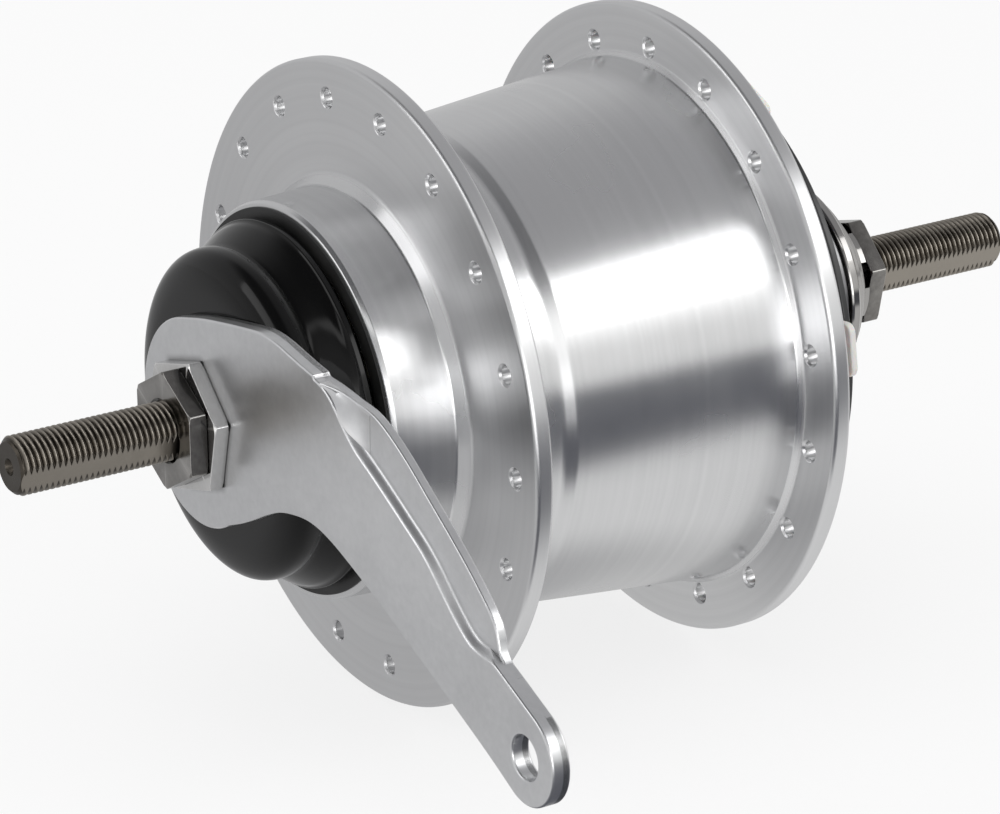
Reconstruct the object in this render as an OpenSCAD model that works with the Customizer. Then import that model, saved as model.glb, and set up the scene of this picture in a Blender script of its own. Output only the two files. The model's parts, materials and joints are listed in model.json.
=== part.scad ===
// Geared bicycle hub with a back-pedal brake, axle along Y, drive side at +Y.
// The origin is the centre of the left flange's spoke hole circle, all sizes in mm.

/* [Axle and locknuts] */
// axle diameter over the thread
axle_d = 9.525; // [9.3:0.025:9.6]
// distance from the axle's left end to the origin
axle_left = 63.2; // [58:0.1:66]
// distance from the axle's right end to the origin
axle_right = 123.8; // [118:0.1:128]
// width over the two flats of the axle
axle_flats = 8.1; // [7.6:0.1:8.8]
// outer face of the left locknut, measured from the origin
left_face = 36.5; // [36:0.1:38]
// outer face of the right locknut, measured from the origin
right_face = 95.5; // [95:0.1:97]
// locknut width across flats
locknut_af = 17; // [15:0.5:18]
// brake arm nut width across flats
armnut_af = 20; // [18:0.5:22]

/* [Brake arm] */
// thickness of the pressed arm
arm_t = 3.1; // [2.6:0.1:3.2]
// radius of the arm's round head
arm_head_r = 16.8; // [16:0.1:18]
// radius of the arm's free end
arm_tip_r = 7.4; // [6.5:0.1:8]
// radius of the clip hole in the free end
arm_hole_r = 3.4; // [2.5:0.1:4]
// depth of the pressed recess along the upper edge
arm_recess = 1.45; // [0.8:0.1:2]

/* [Left dust cap] */
// radius of the cap's drum
cap_r = 26.35; // [25:0.05:26.6]
// radius of the cap's lip
cap_lip_r = 29.6; // [29:0.05:29.7]
// sheet thickness of the cap
cap_t = 0.9; // [0.6:0.05:1]

/* [Hub shell] */
// spoke hole circle diameter
pcd = 92.6; // [90:0.1:94]
// spoke hole diameter
spoke_d = 3.0; // [2.6:0.1:3.2]
// spoke holes in each flange
spoke_n = 18; // [12:1:18]
// metal outside the spoke hole circle
flange_edge = 6.15; // [5:0.05:7]
// flange diameter
flange_d = pcd + 2 * flange_edge;
// flange thickness
flange_t = 3.0; // [2.6:0.1:3.2]
// distance between the flange middles
flange_span = 55.1; // [54.5:0.1:55.4]
// barrel radius beside the left flange's neck
barrel_r0 = 39.6; // [39:0.1:40.5]
// barrel radius beside the right flange
barrel_r1 = 43.6; // [43:0.1:44.5]
// radius of the left opening
mouth_r = 31.1; // [31:0.05:31.3]
// radius of the room for the gears
room_r = 35; // [34:0.1:35.4]

/* [Gear train] */
// gear module
gear_m = 1.25; // [1.25]
// width of the teeth of each gear stage
face_w = 10; // [8:0.5:10]
// backlash on the pitch circle
backlash = 0.16; // [0.12:0.01:0.2]

/* [Drive side] */
// radius of the sprocket seat
seat_r = 17.45; // [17:0.05:17.6]
// radius of the dust disc on the driver
disc_r = 41.25; // [40:0.05:42]
// radius over the white lobes
lobe_r = 45; // [44:0.1:46]

/* [Fits] */
// radial clearance of turning fits
run = 0.08; // [0.06:0.01:0.09]
// clearance round the bearing balls
play = 0.04; // [0.03:0.01:0.06]

/* [Output] */
// which node is drawn

/* [Hidden] */
$fn = 64;
eps = 0.02;
axle_r = axle_d / 2;
thread_seat_r = axle_r + 0.02;
run_r = axle_r + run;
flat_angle = -19;
axle_chamfer = 0.8;

locknut_t = 3.1;
armnut_y0 = -left_face + locknut_t;
arm_y0 = -30.85;
arm_y1 = arm_y0 + arm_t;
boss_r = 9;
boss_flats = 14.4;
boss_fit = 0.03;

cap_y0 = arm_y1;
cap_corner = 3;
flare_y = -21.5;
lip_y = -15.25;
lip_t = 1.4;

pcr = pcd / 2;
flange_r = flange_d / 2;
flange_h = flange_t / 2;
rim_drop = 0.3;
rim_in = 0.6;
left_spoke_angle = 0.82;
right_spoke_angle = -9.28;
neck_y = 13.5;
barrel_end = flange_span - flange_h;

liner_r = 30;
drum_r = 27;
seal_y0 = -14.3;
seal_y1 = -11;
seal_r = 27.6;
liner_y1 = 6.6;
cup_y0 = -13.1;
cup_y1 = -4.6;
ring_bore_r = 38.5;
ring_bore_y = 43.5;

anchor_y = -4.2;
anchor_t = 2;
anchor_r = 24.5;
anchor_slot = boss_flats + 1.6;
lug_a = 12;
lug_r = [24.1, 19.5];
cam_r = 15.2;
cam_low = 14.4;
cam_y0 = -1.5;
cam_y1 = 5;
shoe_gap_a = 10;
shoe_r = drum_r - 0.3;
shoe_y1 = 5.6;

ball_left_y = -12.6;
ball_left_p = 23.5;
ball_left_r = 2.78;
ball_left_n = 18;
ball_mid_y = 58;
ball_mid_p = 27;
ball_mid_r = 2.38;
ball_mid_n = 22;
ball_right_y = 74;
ball_right_p = 13;
ball_right_r = 2.38;
ball_right_n = 11;
cage_gap = 0.12;
cage_band = 0.8;
cage_back = 1.3;
cage_fingers = 1.5;
cage_in = 0.6;
cage_out = 0.8;

sun_n = 15;
big_n = 15;
small_n = 12;
free_n = 18;
ring_n = 45;
centre_r = gear_m * (sun_n + big_n) / 2;
stage1_y = 15;
stage2_y = 27;
planet_end = stage2_y + face_w;
pin_r = 2.5;
carrier_y0 = 9.4;
carrier_y1 = 42.4;
carrier_plate = 4;
carrier_r = 26.2;
add_std = 0.8;
add_ring = 0.7;
ded = 1.05;

sleeve_r = 7.2;
sleeve_y0 = 38.4;
ratchet_n = 24;
ratchet_tip = 33.6;
ratchet_root = 35.7;
ratchet_lead = 1.05;
pawl_pivot = 30.2;
pawl_pin_r = 0.95;
pawl_y0 = 45;
pawl_y1 = 50;
clutch_y0 = 44.8;
clutch_t = 4.6;
clutch_lug = 5;
driver_tube_r = 22;
driver_neck_r = 24.3;
dog_n = 4;
dog_w = 6;
dog_room = 0.4;
finger_a = 20;
finger_lead = 38;
window_a = 100;

// turned body about the axle, points are [y, r]
module lathe(pts) {
    rotate([90, 0, 0])
        rotate_extrude()
            polygon([for (p = pts) [p[1], -p[0]]]);
}

// flat outline in the X-Z plane, thick from y0 to y1
module slab(y0, y1) {
    translate([0, y1, 0])
        rotate([90, 0, 0])
            linear_extrude(y1 - y0)
                children();
}

// plain cylinder along the axle
module rod(y0, y1, r) {
    translate([0, y1, 0])
        rotate([90, 0, 0])
            cylinder(h = y1 - y0, r = r);
}

module turn(a) {
    rotate([0, -a, 0])
        children();
}

module ring2d(r1, r0) {
    difference() {
        circle(r = r1);
        circle(r = r0);
    }
}

// wedge of a circle from angle a0 to a1
module wedge2d(r, a0, a1) {
    polygon(concat([[0, 0]], [for (i = [0 : 8]) let (a = a0 + (a1 - a0) * i / 8) [r * cos(a), r * sin(a)]]));
}

function inv(a) = tan(a) - a * PI / 180;
function arc(y, r, rad, a0, a1, n) = [for (i = [0 : n]) let (a = a0 + (a1 - a0) * i / n)
    [y + rad * cos(a), r + rad * sin(a)]];

// half of a tooth's angle at radius r
function half_tooth(n, r, sign, thin) = let (
    rp = gear_m * n / 2,
    rb = rp * cos(20),
    hp = 90 / n + sign * thin / 2 / rp * 180 / PI,
    a = r > rb ? acos(rb / r) : 0)
    hp + (inv(20) - inv(a)) * 180 / PI;

function tooth_radii(n, lo, hi) = let (rb = max(lo, gear_m * n / 2 * cos(20) + 0.01))
    rb > lo + 0.05 ? [lo, rb, rb + (hi - rb) * 0.3, rb + (hi - rb) * 0.65, hi] : [lo, lo + (hi - lo) * 0.35, lo + (hi - lo) * 0.7, hi];

// outline of a gear, tip and root radius given
function gear_points(n, lo, hi, sign, thin) = let (rr = tooth_radii(n, lo, hi), k = len(rr))
    [for (i = [0 : n - 1], j = [0 : 2 * k - 1]) let (
        r = j < k ? rr[j] : rr[2 * k - 1 - j],
        h = half_tooth(n, r, sign, thin),
        a = i * 360 / n + (j < k ? -h : h))
        [r * cos(a), r * sin(a)]];

module gear2d(n) {
    polygon(gear_points(n, gear_m * (n / 2 - ded), gear_m * (n / 2 + add_std), -1, backlash / 2));
}

// the space of an internal gear has the outline of a fatter outer gear
module ring_space2d(n) {
    rotate(180 / n)
        polygon(gear_points(n, gear_m * (n / 2 - add_ring), gear_m * (n / 2 + ded), 1, backlash / 2));
}

module hex2d(af, a) {
    rotate(a)
        circle(r = af / sqrt(3), $fn = 6);
}

// hexagon nut with both ends chamfered
module hexnut(y0, y1, af, a, c) {
    vr = af / sqrt(3);
    intersection() {
        slab(y0, y1)
            hex2d(af, a);
        lathe([[y0, 0], [y0, af / 2 + 0.25 * c], [y0 + c, vr + eps], [y1 - c, vr + eps], [y1, af / 2 + 0.25 * c], [y1, 0]]);
    }
}

module balls(y, p, r, n) {
    for (i = [0 : n - 1])
        turn(i * 360 / n)
            translate([p, y, 0])
                sphere(r = r);
}

// retainer band with fingers between the balls, s is the side of the band
module cage(y, p, r, n, s, top) {
    band = r + cage_gap;
    union() {
        difference() {
            union() {
                span(y, s, -cage_back, cage_fingers)
                    ring2d(p + cage_out, p - cage_in);
                span(y, s, cage_fingers - 0.5, band + 0.3)
                    ring2d(p + cage_out - 0.1, p + 0.3);
            }
            span(y, s, -cage_back - 1, band + 1)
                for (i = [0 : n - 1])
                    rotate(i * 360 / n)
                        translate([p, 0])
                            circle(r = r + cage_gap);
        }
        span(y, s, band, band + cage_band)
            ring2d(p + top, p + 0.15);
    }
}

// slab from a to b as seen from y, towards side s
module span(y, s, a, b) {
    slab(min(y + s * a, y + s * b), max(y + s * a, y + s * b))
        children();
}

module flats2d(r, af, a) {
    intersection() {
        circle(r = r);
        rotate(a)
            square([af, 4 * r], center = true);
    }
}

module axle() {
    color([0.16, 0.15, 0.14])
        intersection() {
            lathe([[-axle_left, 0], [-axle_left, axle_r - axle_chamfer], [-axle_left + axle_chamfer, axle_r],
                [axle_right - axle_chamfer, axle_r], [axle_right, axle_r - axle_chamfer], [axle_right, 0]]);
            union() {
                rod(-left_face + 6, right_face - 6, axle_r + 1);
                slab(-axle_left - 1, axle_right + 1)
                    flats2d(axle_r + 1, axle_flats, flat_angle);
            }
        }
}

module left_locknut() {
    color([0.2, 0.2, 0.21])
        difference() {
            hexnut(-left_face, armnut_y0, locknut_af, 31, 0.7);
            rod(-left_face - 1, armnut_y0 + 1, thread_seat_r);
        }
}

module arm_nut() {
    color([0.72, 0.72, 0.72])
        difference() {
            hexnut(armnut_y0, arm_y0, armnut_af, 17.5, 0.6);
            rod(armnut_y0 - 1, arm_y0 + 1, thread_seat_r);
        }
}

// outline of the arm, head on the axle and free end at the clip hole
arm_hole = [94.8, -17.9];
arm_top = [[-2, 16.6], [-3.9, 16.4], [2.6, 18.3], [10.5, 20.1], [18, 21.6], [21.6, 22.1], [25.5, 22], [29.1, 21.4],
    [32.9, 20.7], [36.2, 20.1], [41.3, 20], [46, 19.5], [52, 18.9], [58.9, 16], [67.2, 11], [76.6, 5], [83.4, -0.2],
    [85.6, -3.2], [87.2, -6.8], [90, -7.9], [97.6, -11]];
arm_low = [[92.1, -24.8], [83.3, -20.8], [66.9, -14.1], [55.6, -9.6], [50, -7.6], [45.6, -6.1], [41.3, -4.8],
    [36.9, -4], [32.4, -4.1], [26.3, -5.5], [21.7, -7.6], [16.9, -10.3], [9.6, -13.8], [4, -10]];
strip_top = [[39.8, 21.5], [46, 21.5], [53, 20.6], [60.4, 17.8], [69, 12.6], [78.2, 6.6], [87, 0.6], [87.6, -5.6], [84.6, -5.9]];
strip_low = [[79.5, -4.9], [75.2, -1.7], [68.5, 3.6], [61.6, 7.3], [54.6, 10.8], [47.6, 14.1], [41.6, 18.4]];

module brake_arm() {
    color([0.7, 0.7, 0.7])
        difference() {
            union() {
                rod(arm_y0, arm_y1, arm_head_r);
                slab(arm_y0, arm_y1)
                    polygon(concat(arm_top, arm_low));
                translate([arm_hole[0], 0, arm_hole[1]])
                    rod(arm_y0, arm_y1, arm_tip_r);
            }
            slab(arm_y0 - 1, arm_y0 + arm_recess)
                polygon(concat(strip_top, strip_low));
            slab(arm_y0 - 1, arm_y1 + 1)
                translate(arm_hole)
                    circle(r = arm_hole_r);
            slab(arm_y0 - 1, arm_y1 + 1)
                flats2d(boss_r + boss_fit, boss_flats + 2 * boss_fit, flat_angle);
        }
}

// radius of the cap's flare, k in 65ths of its rise
function flare_r(k) = cap_r + (cap_lip_r - cap_r) * k / 65;

module left_cap() {
    r0 = cap_r - cap_corner;
    color([0.03, 0.03, 0.035])
        lathe(concat([[cap_y0, boss_r + 0.1]],
            arc(cap_y0 + cap_corner, r0, cap_corner, 180, 90, 8),
            [[flare_y, cap_r], [flare_y + 1, flare_r(7)], [flare_y + 2, flare_r(16)], [flare_y + 3, flare_r(27)],
            [flare_y + 4, flare_r(40)], [flare_y + 4.9, flare_r(53)], [lip_y - 1.05, cap_lip_r], [lip_y, cap_lip_r],
            [lip_y, cap_lip_r - lip_t], [lip_y - 0.95, flare_r(65) - lip_t - 0.05], [flare_y + 4, flare_r(40) - cap_t - 0.1],
            [flare_y + 2, flare_r(16) - cap_t], [flare_y, cap_r - cap_t]],
            arc(cap_y0 + cap_corner, r0, cap_corner - cap_t, 90, 180, 8),
            [[cap_y0 + cap_t, boss_r + 0.1]]));
}

module brake_cone() {
    race = ball_left_r + play;
    color([0.62, 0.62, 0.63])
        difference() {
            lathe(concat([[arm_y0 + 0.15, thread_seat_r], [arm_y0 + 0.15, boss_r], [cap_y0 + cap_t, boss_r],
                [cap_y0 + cap_t, 15], [-21.5, 15], [-18.5, 21.5], [-17.6, ball_left_p], [ball_left_y - race, ball_left_p]],
                arc(ball_left_y, ball_left_p, race, 180, 275, 14),
                [[-11.6, 19], [-4.2, 19], [-4.2, boss_r], [5.4, boss_r], [5.4, thread_seat_r]]));
            difference() {
                rod(arm_y0, cap_y0 + cap_t - 0.9, boss_r + 1);
                slab(arm_y0 - 1, cap_y0 + 2)
                    flats2d(boss_r + 1, boss_flats, flat_angle);
            }
            difference() {
                rod(-4.2, 5.5, boss_r + 1);
                slab(-5, 6)
                    union() {
                        flats2d(boss_r + 1, anchor_slot, 0);
                        circle(r = 8);
                    }
                rod(-1.6, 6, boss_r + 2);
            }
        }
}

module brake_anchor() {
    color([0.5, 0.5, 0.52])
        union() {
            slab(anchor_y, anchor_y + anchor_t)
                difference() {
                    circle(r = anchor_r);
                    flats2d(boss_r + boss_fit, anchor_slot + 2 * boss_fit, 0);
                }
            slab(anchor_y + anchor_t - eps, cam_y1)
                for (k = [0 : 2])
                    rotate(30 + 120 * k)
                        intersection() {
                            ring2d(lug_r[0], lug_r[1]);
                            wedge2d(40, -lug_a / 2, lug_a / 2);
                        }
        }
}

// cam with three ramps under the shoes
module brake_cam() {
    pts = [for (k = [0 : 2], j = [0 : 11]) let (a = 90 + 120 * k + (j - 5.5) * 10, d = abs((j - 5.5) * 10),
        r = d < 20 ? cam_r : max(cam_low, cam_r - (d - 20) * 0.04)) [r * cos(a), r * sin(a)]];
    color([0.55, 0.55, 0.57])
        difference() {
            slab(cam_y0, cam_y1)
                polygon(pts);
            rod(cam_y0 - 1, cam_y1 + 1, boss_r + run);
        }
}

module shoe(k) {
    color([0.45, 0.4, 0.36])
        difference() {
            slab(cam_y0, shoe_y1)
                difference() {
                    intersection() {
                        ring2d(shoe_r, cam_r + 0.25);
                        rotate(90 + 120 * k)
                            wedge2d(60, -60 + shoe_gap_a, 60 - shoe_gap_a);
                    }
                    intersection() {
                        circle(r = 20.5);
                        union() {
                            rotate(90 + 120 * k + 30)
                                wedge2d(60, 0, 60);
                            rotate(90 + 120 * k - 90)
                                wedge2d(60, 0, 60);
                        }
                    }
                }
            for (y = [0.4, 2.6])
                lathe([[y, shoe_r - 0.6], [y, shoe_r + 1], [y + 0.8, shoe_r + 1], [y + 0.8, shoe_r - 0.6]]);
        }
}

module shoe_a() { shoe(0); }
module shoe_b() { shoe(1); }
module shoe_c() { shoe(2); }

module hub_shell() {
    fo = flange_span;
    color([0.78, 0.78, 0.79])
        difference() {
            lathe(concat(
                [[seal_y0 + 0.3, 20], [seal_y0 + 0.3, mouth_r + 0.45], [seal_y0 + 0.6, mouth_r + 0.8], [-13, mouth_r + 0.95]],
                arc(-3.4, 34.4, 1.9, -90, 0, 7),
                [[-flange_h, flange_r - rim_in], [-flange_h + rim_drop, flange_r - 0.15],
                [-flange_h + rim_drop + 0.2, flange_r], [flange_h - rim_drop - 0.2, flange_r], [flange_h - rim_drop, flange_r - 0.15],
                [flange_h, flange_r - rim_in], [flange_h, 41.2], [flange_h + 0.5, 39.9], [flange_h + 1.7, 39.15],
                [flange_h + 3.4, 38.9], [neck_y - 1.4, 39.05], [neck_y - 0.5, 39.3], [neck_y, barrel_r0]],
                [[barrel_end - 1.6, barrel_r1 - 0.2]],
                arc(barrel_end - 1.2, barrel_r1 + 1, 1.2, -80, 0, 7),
                [[barrel_end, flange_r - rim_in], [barrel_end + rim_drop, flange_r - 0.15], [barrel_end + rim_drop + 0.2, flange_r],
                [fo + flange_h - rim_drop - 0.2, flange_r], [fo + flange_h - rim_drop, flange_r - 0.15],
                [fo + flange_h, flange_r - rim_in], [fo + flange_h, 20]]));
            rod(-20, -10, mouth_r);
            rod(-10.1, 7, liner_r);
            rod(6.9, ring_bore_y + 0.1, room_r);
            rod(ring_bore_y, fo + 5, ring_bore_r);
            spoke_cuts(0, left_spoke_angle);
            spoke_cuts(fo, right_spoke_angle);
        }
}

module spoke_cuts(y, a0) {
    for (i = [0 : spoke_n - 1])
        turn(a0 + i * 360 / spoke_n)
            translate([pcr, y, 0]) {
                rod(-flange_t, flange_t, spoke_d / 2);
                lathe([[-flange_h - 0.1, 0], [-flange_h - 0.1, spoke_d / 2 + 0.5], [-flange_h + 0.5, spoke_d / 2 - 0.1], [-flange_h + 0.5, 0]]);
                lathe([[flange_h + 0.1, 0], [flange_h + 0.1, spoke_d / 2 + 0.5], [flange_h - 0.5, spoke_d / 2 - 0.1], [flange_h - 0.5, 0]]);
            }
}

module left_seal() {
    color([0.05, 0.05, 0.05])
        lathe([[seal_y0, mouth_r], [seal_y0, seal_r + 0.5], [seal_y0 + 0.25, seal_r], [seal_y0 + 0.8, seal_r],
            [seal_y0 + 1.1, seal_r + 1.3], [-12.1, 29.4], [seal_y1, 29.4], [seal_y1, mouth_r]]);
}

module left_cup() {
    race = ball_left_r + play;
    color([0.55, 0.55, 0.57])
        lathe(concat([[-10, liner_r], [cup_y1, liner_r], [cup_y1, 20], [-8.6, 20], [-9.3, 21.6]],
            arc(ball_left_y, ball_left_p, race, -15, 95, 14),
            [[cup_y0, ball_left_p + race + 0.1], [cup_y0, 28.4], [-10, 28.4]]));
}

module brake_drum() {
    color([0.5, 0.5, 0.52])
        lathe([[cup_y1, liner_r], [cup_y1, drum_r], [liner_y1, drum_r], [liner_y1, liner_r]]);
}

module right_ball_ring() {
    race = ball_mid_r + play;
    yw = 51.6;
    color([0.55, 0.55, 0.57])
        difference() {
            lathe(concat([[ring_bore_y + 0.4, ratchet_tip - 0.1], [ring_bore_y + 0.4, ring_bore_r], [flange_span + flange_h, ring_bore_r],
                [flange_span + flange_h, ring_bore_r + 0.5], [62.2, ring_bore_r + 0.5], [62.2, 31.6],
                [ball_mid_y + 1.4, ball_mid_p + race + 0.4]],
                arc(ball_mid_y, ball_mid_p, race, 80, 190, 14),
                [[55.2, 25], [yw, 25], [yw, ratchet_tip - 0.1]]));
            slab(ring_bore_y, yw - 0.2)
                rotate(ratchet_lead)
                    polygon([for (i = [0 : ratchet_n - 1], j = [0 : 3]) let (a = (i + [0, 0.5, 0.96, 1][j]) * 360 / ratchet_n,
                        r = ratchet_tip + (ratchet_root - ratchet_tip) * [0, 0.5, 1, 0][j]) [r * cos(a), r * sin(a)]]);
        }
}

module drive_cover() {
    color([0.04, 0.04, 0.045])
        lathe([[flange_span + flange_h, ring_bore_r + 0.5], [flange_span + flange_h, 39.8], [62, 39.8], [62.4, 39.5], [63.4, 39.5],
            [63.6, 39.3], [63.6, 28.4], [62.2, 28.4], [62.2, ring_bore_r + 0.5]]);
}

module lobe_ring() {
    color([0.93, 0.93, 0.9])
        slab(62.4, 63.6)
            difference() {
                union() {
                    circle(r = 41.2);
                    for (k = [0 : 5])
                        rotate(9 + 60 * k)
                            intersection() {
                                ring2d(lobe_r, 38);
                                translate([42, 0])
                                    square([12, 8.8], center = true);
                            }
                }
                circle(r = 39.5);
            }
}

module left_balls() {
    color([0.85, 0.85, 0.86])
        balls(ball_left_y, ball_left_p, ball_left_r, ball_left_n);
}

module left_cage() {
    color([0.6, 0.58, 0.5])
        cage(ball_left_y, ball_left_p, ball_left_r, ball_left_n, -1, 2.3);
}

module middle_balls() {
    color([0.85, 0.85, 0.86])
        balls(ball_mid_y, ball_mid_p, ball_mid_r, ball_mid_n);
}

module middle_cage() {
    color([0.6, 0.58, 0.5])
        cage(ball_mid_y, ball_mid_p, ball_mid_r, ball_mid_n, 1, 2.1);
}

module right_balls() {
    color([0.85, 0.85, 0.86])
        balls(ball_right_y, ball_right_p, ball_right_r, ball_right_n);
}

module right_cage() {
    color([0.6, 0.58, 0.5])
        cage(ball_right_y, ball_right_p, ball_right_r, ball_right_n, 1, 1.9);
}

module fixed_sun() {
    color([0.58, 0.58, 0.6])
        difference() {
            slab(stage1_y, stage1_y + face_w)
                gear2d(sun_n);
            rod(stage1_y - 1, stage1_y + face_w + 1, thread_seat_r);
        }
}

module sun_washer() {
    color([0.66, 0.6, 0.42])
        slab(stage1_y + face_w + 0.3, stage2_y - 0.3)
            ring2d(7.6, thread_seat_r);
}

module free_sun() {
    color([0.58, 0.58, 0.6])
        difference() {
            union() {
                slab(stage2_y, planet_end)
                    rotate(4)
                        gear2d(free_n);
                rod(planet_end - 1, planet_end + 1, 7);
            }
            rod(stage2_y - 1, planet_end + 2, run_r);
            slab(planet_end + 0.2, planet_end + 2)
                for (k = [0 : 2])
                    rotate(60 * k)
                        square([20, 2.4], center = true);
        }
}

module ring_gear() {
    color([0.5, 0.5, 0.52])
        difference() {
            lathe([[14.2, 26.4], [14.2, 31.8], [14.8, 32.5], [pawl_y1 - 0.5, 32.5], [pawl_y1, 32], [pawl_y1, 25.4],
                [pawl_y0 - 1.2, 25.4], [pawl_y0 - 1.2, 29.9], [stage1_y + face_w + 0.6, 29.9], [stage1_y + face_w + 0.6, 26.4]]);
            slab(14, stage1_y + face_w + 1)
                rotate(4)
                    ring_space2d(ring_n);
            for (k = [0 : 2])
                turn(120 * k) {
                    slab(pawl_y0, pawl_y1 + 1)
                        pawl_room2d();
                    translate([pawl_pivot, 0, 0])
                        rod(pawl_y0 - 2, pawl_y1 + 1, pawl_pin_r);
                }
        }
}

module pawl_room2d() {
    translate([pawl_pivot, 0])
        circle(r = 2.5);
    polygon([[pawl_pivot - 2.4, 0], [40, 0], [40, 12], [29.2, 12], [28, 10.6], [27.9, 2.4]]);
}

module pawl2d() {
    difference() {
        union() {
            circle(r = 1.95);
            polygon([[1.6, -1.05], [1.95, 0.2], [3.25, 8.5], [3.2, 8.9], [2.8, 8.95], [1.2, 8.9], [-0.4, 5.4], [-1.9, 0.5], [-1.9, -0.4]]);
        }
        circle(r = pawl_pin_r + 0.05);
    }
}

module pawl(k) {
    color([0.66, 0.66, 0.68])
        turn(120 * k)
            translate([pawl_pivot, 0, 0])
                slab(pawl_y0 + 0.15, pawl_y1 - 0.1)
                    pawl2d();
}

module pawl_a() { pawl(0); }
module pawl_b() { pawl(1); }
module pawl_c() { pawl(2); }

module pawl_pins() {
    color([0.8, 0.8, 0.82])
        for (k = [0 : 2])
            turn(120 * k)
                translate([pawl_pivot, 0, 0])
                    rod(pawl_y0 - 1.1, pawl_y1 + 0.9, pawl_pin_r);
}

module pawl_plate() {
    color([0.6, 0.6, 0.62])
        difference() {
            slab(pawl_y1, pawl_y1 + 0.9)
                ring2d(32.2, 25.4);
            for (k = [0 : 2])
                turn(120 * k)
                    translate([pawl_pivot, 0, 0])
                        rod(pawl_y1 - 1, pawl_y1 + 2, pawl_pin_r);
        }
}

module planet_carrier() {
    color([0.56, 0.56, 0.58])
        difference() {
            union() {
                lathe([[carrier_y0, run_r], [carrier_y0, 17], [carrier_y0 + 0.9, 18], [carrier_y0 + 0.9, carrier_r - 0.8],
                    [carrier_y0 + 1.6, carrier_r], [carrier_y0 + carrier_plate, carrier_r], [carrier_y0 + carrier_plate, run_r]]);
                slab(carrier_y1 - carrier_plate, carrier_y1)
                    ring2d(carrier_r, sleeve_r + 0.4);
                for (k = [0 : 2])
                    turn(30 + 120 * k)
                        translate([20.4, 0, 0])
                            rod(carrier_y0 + carrier_plate - eps, carrier_y1 - carrier_plate + eps, 5);
            }
            for (k = [0 : 2])
                turn(90 + 120 * k)
                    translate([centre_r, 0, 0])
                        rod(carrier_y0 - 1, carrier_y1 + 1, pin_r);
            slab(carrier_y1 - 1.6, carrier_y1 + 1)
                for (k = [0 : dog_n - 1])
                    rotate(45 + 90 * k)
                        translate([12.3, 0])
                            square([4.6, dog_w + 2 * dog_room], center = true);
        }
}

module planet_pins() {
    color([0.82, 0.82, 0.84])
        for (k = [0 : 2])
            turn(90 + 120 * k)
                translate([centre_r, 0, 0])
                    rod(carrier_y0, carrier_y1, pin_r);
}

module planet(k) {
    t = 90 + 120 * k;
    color([0.6, 0.6, 0.62])
        turn(t)
            translate([centre_r, 0, 0])
                difference() {
                    union() {
                        slab(stage1_y, stage1_y + face_w)
                            rotate(-6)
                                gear2d(big_n);
                        rod(stage1_y + face_w - 1, stage2_y + 1, 6);
                        slab(stage2_y, planet_end)
                            rotate(-6)
                                gear2d(small_n);
                        rod(stage1_y - 1, stage1_y + 1, 5);
                        rod(planet_end - 1, planet_end + 0.9, 5);
                    }
                    rod(stage1_y - 2, planet_end + 2, pin_r + run);
                }
}

module planet_a() { planet(0); }
module planet_b() { planet(1); }
module planet_c() { planet(2); }

module shift_clutch() {
    color([0.62, 0.62, 0.64])
        difference() {
            union() {
                slab(clutch_y0, clutch_y0 + clutch_t)
                    union() {
                        circle(r = 15.9);
                        for (k = [0 : dog_n - 1])
                            rotate(90 * k)
                                translate([15, 0])
                                    square([7.6, clutch_lug], center = true);
                    }
                slab(carrier_y1 - 1.3, clutch_y0 + eps)
                    for (k = [0 : dog_n - 1])
                        rotate(45 + 90 * k)
                            translate([12.3, 0])
                                square([3.8, dog_w], center = true);
            }
            rod(30, 60, sleeve_r + 0.5);
        }
}

module driver() {
    rm = ball_mid_r + play;
    rr = ball_right_r + play;
    color([0.3, 0.3, 0.31])
        difference() {
            lathe(concat([[43.4, 16.3], [43.4, driver_tube_r], [52.6, driver_tube_r], [53, driver_neck_r]],
                arc(ball_mid_y, ball_mid_p, rm, -100, 0, 12),
                [[61, ball_mid_p - 0.3], [63.7, ball_mid_p - 0.3], [63.7, 22], [66.2, 22], [66.2, 19.4], [67.6, 19.4],
                [67.6, seat_r], [81.7, seat_r], [82.2, seat_r - 0.5], [82.2, 15.7], [ball_right_y + 0.6, 15.7]],
                arc(ball_right_y, ball_right_p, rr, 78, 190, 14),
                [[70.6, 10.6], [70.6, sleeve_r + 0.5], [60, sleeve_r + 0.5], [58, 9.2], [53.6, 9.2], [53.6, 16.3]]));
            slab(43, 53.6)
                for (k = [0 : dog_n - 1])
                    rotate(90 * k)
                        translate([15, 0])
                            square([8.4, clutch_lug + 0.2], center = true);
            slab(68.4, 79.2)
                for (k = [0 : 2])
                    rotate(90 + 120 * k)
                        translate([seat_r, 0])
                            square([1.6, 6], center = true);
            lathe([[79.6, seat_r - 0.7], [79.6, seat_r + 1], [80.7, seat_r + 1], [80.7, seat_r - 0.7]]);
        }
}

module dust_disc() {
    color([0.1, 0.1, 0.105])
        lathe([[63.9, disc_r - 0.5], [64.2, disc_r], [65.2, disc_r], [65.5, disc_r - 0.5], [65.5, 36], [66.2, 33], [66.2, 22],
            [64.9, 22], [64.9, 32.6], [64.2, 35.6], [63.9, 36.4]]);
}

module shift_sleeve() {
    color([0.6, 0.6, 0.61])
        difference() {
            union() {
                rod(sleeve_y0, 85, sleeve_r);
                slab(84.9, 91)
                    intersection() {
                        ring2d(sleeve_r, 6.15);
                        for (k = [0 : 2])
                            rotate(120 * k + finger_lead)
                                wedge2d(20, -finger_a / 2, finger_a / 2);
                    }
            }
            rod(sleeve_y0 - 1, 84.9, run_r);
            rod(84, 86, 6.15);
        }
}

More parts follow.
